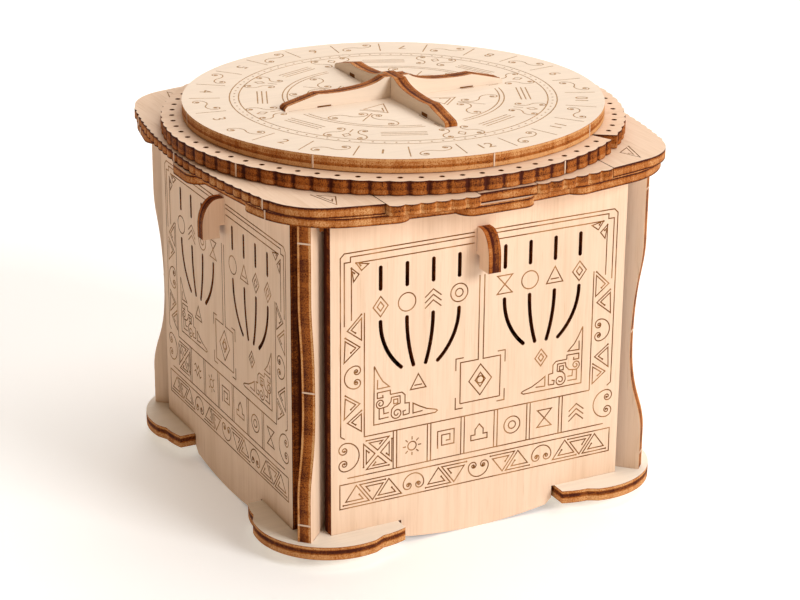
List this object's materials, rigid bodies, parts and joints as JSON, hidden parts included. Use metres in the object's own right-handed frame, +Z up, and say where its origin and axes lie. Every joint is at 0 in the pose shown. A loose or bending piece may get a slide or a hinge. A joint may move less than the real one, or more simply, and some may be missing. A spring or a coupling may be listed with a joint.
{
  "type": "wooden puzzle box",
  "caption": "Square plywood puzzle box with slotted panels, waved corner posts and a lift-off lid carrying a finned dial, a toothed ring and sliding bolts",
  "frame": {"origin": "on the floor under the middle of the case", "axes": "+Z up, the front panel faces -Y, the left panel of the picture faces -X"},
  "size_m": [0.1408, 0.1436, 0.124],
  "materials": {
    "case_plywood": "bare plywood, charred cut edges",
    "lid_plywood": "bare plywood, charred cut edges",
    "inner_plywood": "bare plywood",
    "dowel": "bare beech dowel"
  },
  "bodies": {
    "case": {"base_plate": "case_plywood", "panel_front": "case_plywood", "panel_right": "case_plywood", "panel_back": "case_plywood", "panel_left": "case_plywood", "post_front_left": "case_plywood", "post_front_right": "case_plywood", "post_back_right": "case_plywood", "post_back_left": "case_plywood", "rim_frame": "inner_plywood", "key_guides": "inner_plywood"},
    "lid": {"lid_plate": "lid_plywood", "lid_core": "inner_plywood", "lid_side_left": "lid_plywood", "lid_side_right": "lid_plywood", "lid_strip_front": "lid_plywood", "lid_strip_back": "lid_plywood", "hub_disc": "inner_plywood", "dial_washer": "inner_plywood", "carrier_plate": "inner_plywood", "guide_rails": "inner_plywood", "pillars": "dowel"},
    "dial": {"dial_disc": "lid_plywood", "handle_fin_across": "lid_plywood", "handle_fin_along": "lid_plywood", "drive_shaft": "dowel", "shaft_collar": "inner_plywood", "cam_plate": "inner_plywood"},
    "ring": {"toothed_ring": "lid_plywood"},
    "front_bolt": {"bolt_front": "inner_plywood", "bolt_pin_front": "dowel"},
    "right_bolt": {"bolt_right": "inner_plywood", "bolt_pin_right": "dowel"},
    "back_bolt": {"bolt_back": "inner_plywood", "bolt_pin_back": "dowel"},
    "left_bolt": {"bolt_left": "inner_plywood", "bolt_pin_left": "dowel"},
    "front_knob": {"key_front": "case_plywood", "key_peg_front": "dowel"},
    "right_knob": {"key_right": "case_plywood", "key_peg_right": "dowel"},
    "back_knob": {"key_back": "case_plywood", "key_peg_back": "dowel"},
    "left_knob": {"key_left": "case_plywood", "key_peg_left": "dowel"},
    "front_left_block": {"block_front_left": "lid_plywood", "block_peg_front_left": "dowel"},
    "front_right_block": {"block_front_right": "lid_plywood", "block_peg_front_right": "dowel"},
    "back_right_block": {"block_back_right": "lid_plywood", "block_peg_back_right": "dowel"},
    "back_left_block": {"block_back_left": "lid_plywood", "block_peg_back_left": "dowel"}
  },
  "joints": [
    {"name": "lid_lift", "type": "slide", "parent": "case", "child": "lid", "axis": [0, 0, 1], "range_m": [0, 0.04]},
    {"name": "dial_turn", "type": "hinge", "parent": "lid", "child": "dial", "pos_m": [0, 0, 0.1175], "axis": [0, 0, 1], "range_deg": [0, 60]},
    {"name": "ring_turn", "type": "hinge", "parent": "lid", "child": "ring", "pos_m": [0, 0, 0.1112], "axis": [0, 0, 1], "continuous": true},
    {"name": "front_bolt_slide", "type": "slide", "parent": "lid", "child": "front_bolt", "axis": [0, -1, 0], "range_m": [0, 0.0061]},
    {"name": "right_bolt_slide", "type": "slide", "parent": "lid", "child": "right_bolt", "axis": [1, 0, 0], "range_m": [0, 0.0061]},
    {"name": "back_bolt_slide", "type": "slide", "parent": "lid", "child": "back_bolt", "axis": [0, 1, 0], "range_m": [0, 0.0061]},
    {"name": "left_bolt_slide", "type": "slide", "parent": "lid", "child": "left_bolt", "axis": [-1, 0, 0], "range_m": [0, 0.0061]},
    {"name": "front_knob_pull", "type": "slide", "parent": "case", "child": "front_knob", "axis": [0, -1, 0], "range_m": [0, 0.0037]},
    {"name": "right_knob_pull", "type": "slide", "parent": "case", "child": "right_knob", "axis": [1, 0, 0], "range_m": [0, 0.0037]},
    {"name": "back_knob_pull", "type": "slide", "parent": "case", "child": "back_knob", "axis": [0, 1, 0], "range_m": [0, 0.0037]},
    {"name": "left_knob_pull", "type": "slide", "parent": "case", "child": "left_knob", "axis": [-1, 0, 0], "range_m": [0, 0.0037]},
    {"name": "front_left_block_slide", "type": "slide", "parent": "lid", "child": "front_left_block", "axis": [0, -1, 0], "range_m": [-0.002, 0.001]},
    {"name": "front_right_block_slide", "type": "slide", "parent": "lid", "child": "front_right_block", "axis": [0, -1, 0], "range_m": [0, 0.003]},
    {"name": "back_right_block_slide", "type": "slide", "parent": "lid", "child": "back_right_block", "axis": [0, 1, 0], "range_m": [-0.002, 0.001]},
    {"name": "back_left_block_slide", "type": "slide", "parent": "lid", "child": "back_left_block", "axis": [0, 1, 0], "range_m": [0, 0.003]}
  ],
  "couplings": [
    {"joint": "front_bolt_slide", "follows": "dial_turn", "m_per_rad": 0.0057296},
    {"joint": "right_bolt_slide", "follows": "dial_turn", "m_per_rad": 0.0057296},
    {"joint": "back_bolt_slide", "follows": "dial_turn", "m_per_rad": 0.0057296},
    {"joint": "left_bolt_slide", "follows": "dial_turn", "m_per_rad": 0.0057296}
  ]
}
